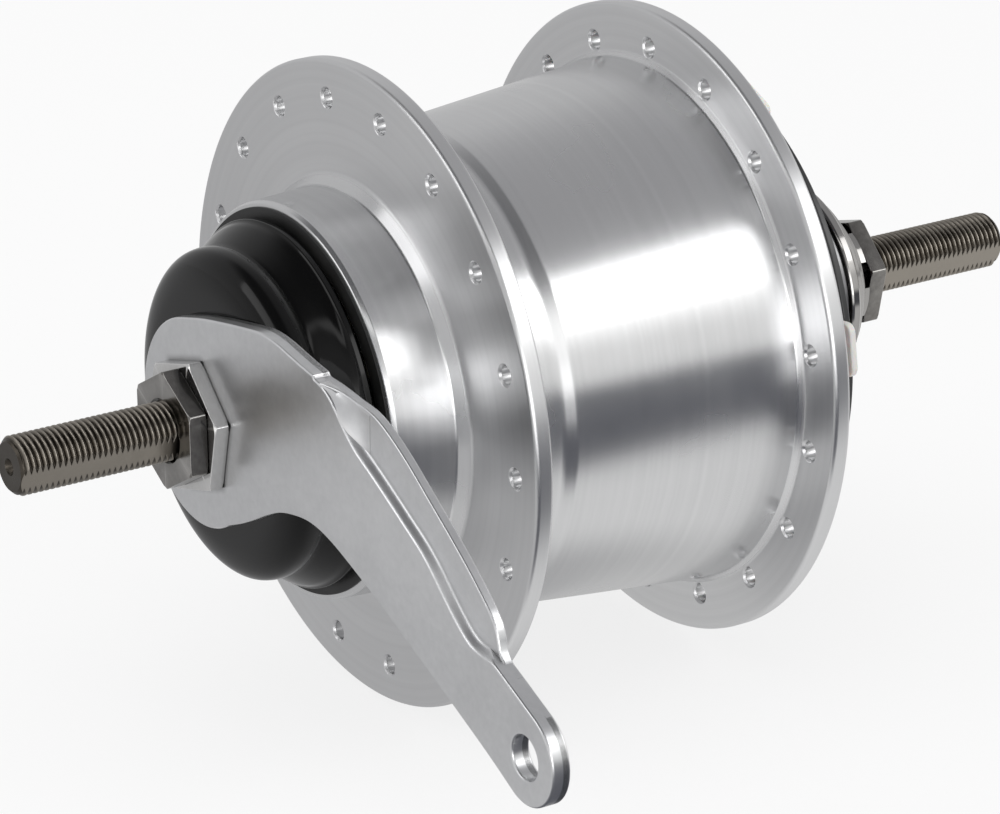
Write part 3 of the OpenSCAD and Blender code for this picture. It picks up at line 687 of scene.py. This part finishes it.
def hex_nut(name, y0, y1, flats, lead, crown, replaced):
    """A nut from y0 to y1. crown is the radius where the end chamfers start, so they only meet the corners."""
    loop = hex_loop(flats, lead)
    slope = math.tan(math.radians(30))
    rows = []
    for y, sign in ((y0, 1), (y1, -1)):
        half = [[(y, p.normalized() * (NUT_BORE_R + NUT_FLARE)) for p in loop]]
        for k in range(6):
            a = math.pi / 2 * k / 5
            t = NUT_EDGE_R * (1 - math.cos(a))
            limit = crown + t / slope
            back_off = NUT_EDGE_R * (1 - math.sin(a))
            half.append([(y + sign * t, p.normalized() * min(p.length - back_off, limit)) for p in loop])
        for k in range(1, 7):
            row = []
            for p in loop:
                crease = max(NUT_EDGE_R, (p.length - crown) * slope)
                t = NUT_EDGE_R + (crease + 0.04 - NUT_EDGE_R) * (k / 6)
                row.append((y + sign * t, p.normalized() * min(p.length, crown + t / slope)))
            half.append(row)
        rows += half if sign == 1 else half[::-1]
    for y in (y1 - NUT_FLARE_DEPTH, y0 + NUT_FLARE_DEPTH):
        rows.append([(y, p.normalized() * NUT_BORE_R) for p in loop])
    verts = [(p.x, y, p.y) for row in rows for y, p in row]
    faces = row_faces(len(rows), len(loop), closed=True)
    return make_object(name, verts, faces, "axle_set", replaced, "nut_zinc", 40)


# The locknuts take the zinc that is painted darker as painted shade.
left_nut = hex_nut("left_nut_hex", -36.5, -33.45, 17, 31, 9.35, "left_locknut")
left_nut.data.materials[0] = shade_painted_zinc
hex_nut("arm_nut_hex", -33.4, ARM_FRONT, 20, 17.5, 11.0, "arm_nut")
right_nut = hex_nut("right_nut_hex", 92.4, 95.5, 17, 18, 9.35, "right_locknut")
right_nut.data.materials[0] = shade_painted_zinc


# Axle with a rolled thread at both ends and two flats


def axle_radius(y, angle):
    """The axle's radius at a place along it and round it."""
    phase = (y / THREAD_PITCH + angle / 360) % 1
    wave = abs(2 * phase - 1)
    radius = AXLE_R
    if y < THREAD_FROM[0] or y > THREAD_FROM[1]:
        radius -= THREAD_DEPTH * min(1, max(0, (wave - THREAD_CREST) / THREAD_FLANK))
    if y < FLATS_FROM[0] or y > FLATS_FROM[1]:
        radius = min(radius, FLAT_HALF / max(0.01, abs(math.cos(math.radians(angle - FLAT_ANGLE)))))
    near_end = min(y - LEFT_END, RIGHT_END - y)
    return min(radius, AXLE_R - AXLE_CHAMFER + near_end * CHAMFER_SLOPE)


def build_axle():
    """Rings along the axle, close together where the thread shows, and a centre hole in each end."""
    segments = 160
    angles = [360 * s / segments for s in range(segments)]
    rows = []
    y = LEFT_END
    while y < RIGHT_END:
        rows.append(y)
        y += 8 if -27 < y < 87 else THREAD_PITCH / 12
    rows.append(RIGHT_END)
    verts = [polar(y, axle_radius(y, angle), angle) for y in rows for angle in angles]
    faces = row_faces(len(rows), segments)
    for row, sign in ((0, 1), (len(rows) - 1, -1)):
        edge = list(range(row * segments, (row + 1) * segments))
        for depth, share in CENTRE_HOLE:
            start = len(verts)
            for angle in angles:
                r = min(END_FACE_R, axle_radius(rows[row], angle)) * share
                verts.append(polar(rows[row] + sign * depth, r, angle))
            for s in range(segments):
                t = (s + 1) % segments
                faces.append((edge[s], edge[t], start + t, start + s))
            edge = list(range(start, start + segments))
        faces.append(tuple(edge))
    make_object("axle_threaded", verts, faces, "axle_set", "axle", "axle_steel", 40)


build_axle()


# Brake arm, pressed from plate, with a lower strip along its upper edge

lower_edge = [
    (9.6, -13.8), (13.0, -12.3), (16.9, -10.3), (21.7, -7.6), (26.3, -5.5), (32.4, -4.1), (36.9, -4.0),
    (41.3, -4.8), (45.6, -6.1), (50, -7.6), (55.6, -9.6), (66.9, -14.1), (83.3, -20.8), (92.1, -24.8)]
head_edge = [
    (37.1, 20.0), (36.8, 20.1), (36.5, 20.45), (36.1, 20.6), (32.9, 20.95), (29.1, 21.5), (25.5, 22.0),
    (21.6, 22.1), (18, 21.6), (10.5, 20.1), (2.6, 18.3), (-3.9, 16.4)]
upper_edge = [
    (97.6, -11), (90, -7.9), (87.2, -6.8), (85.9, -5.0), (85.2, -2.6), (83.4, -0.2), (76.6, 5), (67.2, 11),
    (58.9, 16), (52, 18.9), (46, 19.5), (41.3, 19.9)] + head_edge
step_edge = [
    (97.6, -11), (90, -7.9), (86.4, -6.5), (83.6, -5.6), (81.6, -5.4), (79.3, -4.6), (75.2, -1.7), (68.5, 3.6),
    (61.6, 7.3), (54.6, 10.8), (47.6, 14.1), (43.8, 16.6), (41.2, 18.6), (39.0, 19.65)] + head_edge

RAMP_FROM = 38.4
RAMP_TO = 50.6
RAMP_DIVE = 7.0
RAMP_TILT = 0.38
ramp_inner = [(37.6, 19.7), (39.0, 19.3), (41.2, 18.0), (43.8, 16.0), (47.6, 13.5), (51.0, 11.8)]
ramp_outer = [(37.1, 19.95), (41.3, 19.88), (46, 19.48), (51.0, 18.95)]
# share of the ramp's width, then how far its round outer edge lies inwards and back; None is buried in the arm
ramp_columns = (
    (0.0, 0.0, 0.0), (0.2, 0.0, 0.0), (0.4, 0.0, 0.0), (0.6, 0.0, 0.0), (0.8, 0.0, 0.0),
    (1.0, 0.35, 0.0), (1.0, 0.17, 0.05), (1.0, 0.05, 0.17), (1.0, 0.0, 0.35),
    (1.0, 0.0, None), (0.0, 0.0, None))


def at_x(path, x):
    """The height of a left-to-right path at x."""
    for a, b in zip(path, path[1:]):
        if x <= b[0]:
            return a[1] + (b[1] - a[1]) * (x - a[0]) / (b[0] - a[0])
    return path[-1][1]


def arm_outline(upper):
    """The arm's outline, counter-clockwise, with the given upper edge."""
    loop = smooth_path(lower_edge) + arc_path(TIP, TIP_R, -111, 68) + smooth_path(upper)
    return loop + arc_path((0, 0), HEAD_R, 103.4, 304.8, 3)


def ramp_mesh():
    """Where the lower strip begins: it dives from the face to its own level, steep at first."""
    rows = 36
    verts = []
    for i in range(rows + 1):
        x = RAMP_FROM + (RAMP_TO - RAMP_FROM) * i / rows
        z0 = at_x(ramp_inner, x)
        width = at_x(ramp_outer, x) - z0
        left = 1 - min(1, (x - RAMP_FROM) / RAMP_DIVE)
        fall = (RECESS - 0.06) * (1 - left * left)
        fade = min(1, max(0, (RAMP_TO - x) / RAMP_DIVE))
        lift = min(fall, RAMP_TILT * width) * fade * fade * (3 - 2 * fade)
        for share, inset, behind in ramp_columns:
            y = RECESS + 0.8 if behind is None else 0.02 + fall + behind - lift * (1 - share)
            verts.append((x, ARM_FRONT + y, z0 + width * share - inset))
    n = len(ramp_columns)
    faces = row_faces(rows + 1, n)
    faces.append(tuple(range(n)))
    faces.append(tuple(rows * n + k for k in range(n)))
    return verts, faces


def step_share(p):
    """1 where a point of the front outline lies on the long step, fading out at the step's two ends."""
    lowest = 14.9 - (p.x - STEP_X) * 0.62
    highest = 22 - (p.x - STEP_X) * 0.5
    if p.x <= 38 or p.y <= lowest or p.y >= highest:
        return 0
    return min(1, max(0, (p.x - 43) / 6)) * min(1, max(0, (86 - p.x) / 2))


def build_arm():
    """Two rounded plates in one piece: the front face's plate, and the full outline behind the lower strip."""
    front = arm_outline(step_edge)
    full = arm_outline(upper_edge)
    holes = [(*TIP, HOLE_R), (0, 0, BOSS_R)]
    soft_step = ([step_share(p) for p in front], 1.3, RECESS)
    parts = [
        plate_mesh(front, holes, ARM_FRONT, ARM_BACK - 0.02, 0.4, 0.35, soft_step),
        plate_mesh(full, holes, ARM_FRONT + RECESS, ARM_BACK, 0.35),
        ramp_mesh()]
    make_object("arm_pressed", *join_meshes(parts), "axle_set", "brake_arm", "zinc", 30)


build_arm()


# Drive side

cover_section = [
    (COVER_FROM, 39.0), (COVER_FROM, 39.8, 0.2), (61.9, 39.8, 0.4), (62.5, 39.4, 0.4),
    (COVER_FACE, 39.4, 0.35), (COVER_FACE, 28.4, 0.2), (62.2, 28.4, 0.2), (62.2, 39.0)]
turned("cover_moulded", cover_section, "shell", "drive_cover", "black_matte", 256)


def lobe_outline(lead):
    """One lobe of the ring and the arc of the ring up to the next lobe."""
    radial = Vector(polar(0, 1, lead)[::2])
    across = Vector((-radial.y, radial.x))
    root = math.sqrt(LOBE_RING_R ** 2 - LOBE_HALF ** 2)
    shoulder = LOBE_R - LOBE_CORNER
    cheek = LOBE_HALF - LOBE_CORNER
    quarter = [math.pi / 2 * j / 5 for j in range(6)]
    loop = [radial * root - across * LOBE_HALF]
    loop += [radial * (shoulder + LOBE_CORNER * math.sin(t)) - across * (cheek + LOBE_CORNER * math.cos(t))
             for t in quarter]
    loop += [radial * (shoulder + LOBE_CORNER * math.cos(t)) + across * (cheek + LOBE_CORNER * math.sin(t))
             for t in quarter]
    loop.append(radial * root + across * LOBE_HALF)
    start = math.degrees(LOBE_HALF / LOBE_RING_R)
    pitch = 360 / LOBE_COUNT
    angles = [lead + start + 1 + (pitch - 2 - 2 * start) * j / 14 for j in range(15)]
    return loop + [Vector(polar(0, LOBE_RING_R, a)[::2]) for a in angles]


lobes = [p for k in range(LOBE_COUNT) for p in lobe_outline(LOBE_LEAD + 360 / LOBE_COUNT * k)]
lobe_verts, lobe_faces = plate_mesh(lobes, [(0, 0, LOBE_BORE_R)], LOBE_BACK, COVER_FACE, 0.3)
make_object("lobes_moulded", lobe_verts, lobe_faces, "shell", "lobe_ring", "white_nylon", 40)

disc_section = [
    (63.9, 40.75, 0.25), (64.25, 41.25, 0.3), (65.15, 41.25, 0.3), (65.5, 40.75, 0.25), (65.5, 36, 1),
    (66.2, 33, 1), (66.2, 22), (64.9, 22), (64.9, 32.6, 1), (64.2, 35.6, 1), (63.9, 36.4, 1)]
turned("disc_pressed", disc_section, "driver_set", "dust_disc", "dark_steel", 256)

cone_cap_section = [
    (82.7, 13.0), (82.7, 17.1, 0.25), (83.1, 17.3, 0.2), (84.2, 17.3, 0.3), (84.6, 16.9, 0.2),
    (85.0, 15.6, 0.3), (86.6, 14.9, 0.4), (87.1, 13.2, 0.4), (88.7, 12.4, 0.4), (89.2, 10.9, 0.4),
    (90.0, 10.7, 0.3), (90.3, 10.4, 0.15), (90.3, 9.95, 0.15), (88.4, 9.95, 0.2), (88.2, 11),
    (86.4, 12), (84.6, 13.4), (84.2, 15.3), (83.5, 15.3), (83.5, 13.0)]
turned("cone_cap_drawn", cone_cap_section, "axle_set", "cone_cap", "cone_chrome", 192, 26)


# Nodes that keep their CAD shape take their slot's finish

slots = {entry["node"]: entry["material_slot"] for entry in frame["record"]["subparts"]}
for name, obj in nodes.items():
    material = finish[slots[name]]
    if not obj.material_slots:
        obj.data.materials.append(material)
    for place in obj.material_slots:
        place.material = material


# Studio, in metres

LIGHT_AIM = Vector((0.02, 0.02, 0))


def area_light(name, direction, distance, size, energy):
    """A soft box that shines at the part from a direction."""
    data = bpy.data.lights.new(name, "AREA")
    data.shape = "RECTANGLE"
    data.size, data.size_y = size
    data.energy = energy
    obj = bpy.data.objects.new(name, data)
    obj.location = LIGHT_AIM + Vector(direction).normalized() * distance
    obj.rotation_euler = (obj.location - LIGHT_AIM).to_track_quat("Z", "Y").to_euler()
    scene.collection.objects.link(obj)
    return obj


area_light("key", (0.78, 0.62, 0.78), 1.15, (0.85, 0.4), 1.9)
area_light("front", (-0.35, -1.0, 0.75), 1.4, (0.9, 0.6), 2.2)
overhead = area_light("overhead", (0.1, -0.2, 1), 1.3, (1.3, 1.3), 6)
overhead.visible_glossy = False

# compass directions in which the metal mirrors something of its own
DRIVE_SIDE = (0.8, 0.6)
DRIVE_BOX = (0.9, 0.43)
DRIVE_TABLE = (0.85, 0.53)
FRONT_BOX = (0.87, -0.49)
FRONT_STRIP = (0.68, -0.73)
LEFT_SIDE = (0.0, -1.0)
BEHIND = (-0.2, 0.98)


def facing(tree, x, y, way, low, high):
    """How far a place or direction lies towards a compass direction, from 0 to 1."""
    return rise(tree, weighted_sum(tree, x, way[0], y, way[1]), low, high)


def mirror_ray(tree, paths):
    """1 for rays that come from a mirror or glass."""
    return maths(tree, "MAXIMUM", paths.outputs["Is Glossy Ray"], paths.outputs["Is Transmission Ray"])


def background(tree, strength):
    """A background shader."""
    node = tree.nodes.new("ShaderNodeBackground")
    node.inputs["Strength"].default_value = strength
    return node


def build_world():
    """Pale to the camera, even light for matt surfaces, and a grey room with soft boxes in mirrors."""
    world = bpy.data.worlds.new("studio")
    scene.world = world
    world.use_nodes = True
    tree = world.node_tree
    tree.nodes.clear()
    output = tree.nodes.new("ShaderNodeOutputWorld")
    paths = tree.nodes.new("ShaderNodeLightPath")
    x, y, z = split_xyz(tree, tree.nodes.new("ShaderNodeTexCoord").outputs["Generated"])
    drive_side = facing(tree, x, y, DRIVE_SIDE, 0.25, 0.75)
    sky = mix_colour(tree, rise(tree, z, 0.5, 0.95), (0.56, 0.56, 0.565), (0.38, 0.38, 0.39))
    parts = (
        # dark ceiling over the left side
        (product(tree, drop(tree, y, 0.0, 0.24), rise(tree, z, 0.55, 0.88)), (0.09, 0.09, 0.095)),
        # bright strip high in front
        (product(tree, facing(tree, x, y, FRONT_STRIP, 0.55, 0.62), rise(tree, z, 0.7, 0.74)), (1.6, 1.6, 1.6)),
        # dark skirting, then a low wide box above it, on the drive side
        (product(tree, drive_side, drop(tree, z, -0.02, 0.12)), (0.1, 0.1, 0.11)),
        (product(tree, drive_side, drop(tree, z, 0.5, 0.75), rise(tree, z, -0.03, 0.09)), (0.84, 0.84, 0.835)),
        # brighter box within the low one
        (product(tree, facing(tree, x, y, DRIVE_BOX, 0.5, 0.85), rise(tree, z, 0.26, 0.42),
                 drop(tree, z, 0.5, 0.75)), (1.35, 1.35, 1.34)),
        # bright box in front
        (product(tree, facing(tree, x, y, FRONT_BOX, 0.86, 0.97), drop(tree, z, 0.25, 0.5)), (3.2, 3.2, 3.2)),
    )
    for where, colour in parts:
        sky = mix_colour(tree, where, sky, colour)
    mirrored = background(tree, 1.0)
    tree.links.new(sky, mirrored.inputs["Color"])
    room = background(tree, 0.62)
    room.inputs["Color"].default_value = (1, 1, 1, 1)
    hidden = mix_shaders(tree, mirror_ray(tree, paths), room.outputs[0], mirrored.outputs[0])
    seen = background(tree, 1.0)
    result = mix_shaders(tree, paths.outputs["Is Camera Ray"], hidden, seen.outputs[0])
    tree.links.new(result, output.inputs[0])


build_world()


def painted_table_light(tree, coord):
    """The table in mirrors as painted light: a painted shadow of grey under the part, and painted light and
    shade round it.
    """
    x, along, _ = split_xyz(tree, coord)
    y = maths(tree, "SUBTRACT", along, 0.03)
    beyond = maths(tree, "SUBTRACT", x, product(tree, y, 0.6))
    reach = flat_length(tree, x, y)
    safe = maths(tree, "MAXIMUM", reach, 0.01)
    x = maths(tree, "DIVIDE", x, safe)
    y = maths(tree, "DIVIDE", y, safe)
    table = mix_colour(tree, facing(tree, x, y, BEHIND, -0.3, 0.5), (0.495, 0.495, 0.5), (0.62, 0.62, 0.62))
    parts = (
        # painted light on the table beside the part on the drive side, and a painted dark band further out
        (facing(tree, x, y, DRIVE_TABLE, -0.2, 0.4), rise(tree, reach, 0.03, 0.055), (0.78, 0.78, 0.78)),
        (facing(tree, x, y, DRIVE_TABLE, 0.05, 0.4), rise(tree, beyond, 0.084, 0.118), (0.075, 0.078, 0.095)),
        # painted light that the front box and the left side throw on the table
        (facing(tree, x, y, FRONT_BOX, 0.86, 0.97), rise(tree, reach, 0.25, 0.4), (1.5, 1.5, 1.5)),
        (facing(tree, x, y, LEFT_SIDE, 0.92, 0.98), rise(tree, reach, 0.165, 0.2), (1.1, 1.1, 1.1)),
    )
    for way, distance, colour in parts:
        table = mix_colour(tree, product(tree, way, distance), table, colour)
    return table


def build_floor():
    """A pale table. It stays white to the camera apart from the part's shadow."""
    mesh = bpy.data.meshes.new("floor")
    mesh.from_pydata([(-4, -4, 0), (4, -4, 0), (4, 4, 0), (-4, 4, 0)], [], [(0, 1, 2, 3)])
    floor = bpy.data.objects.new("floor", mesh)
    floor.location.z = -(FLANGE_R + 0.5) * MM
    scene.collection.objects.link(floor)
    material, tree, shader = new_material("floor", 0.9, Specular_IOR_Level=0.1)
    coord = object_position(tree)
    pale = mix_colour(tree, noise(tree, coord, 3), (0.84, 0.84, 0.845), (0.87, 0.87, 0.872))
    tree.links.new(pale, shader.inputs["Base Color"])
    # To mirrors the table glows with painted light and a painted shadow of the part.
    painted_table_glow = tree.nodes.new("ShaderNodeEmission")
    tree.links.new(painted_table_light(tree, coord), painted_table_glow.inputs["Color"])
    glow = tree.nodes.new("ShaderNodeEmission")
    paths = tree.nodes.new("ShaderNodeLightPath")
    gloss = product(tree, mirror_ray(tree, paths), 0.95)
    mirrored = mix_shaders(tree, gloss, shader.outputs[0], painted_table_glow.outputs[0])
    seen = mix_shaders(tree, product(tree, paths.outputs["Is Camera Ray"], 0.8), mirrored, glow.outputs[0])
    tree.links.new(seen, tree.nodes["Material Output"].inputs["Surface"])
    mesh.materials.append(material)


build_floor()

scene.view_settings.view_transform = "Standard"
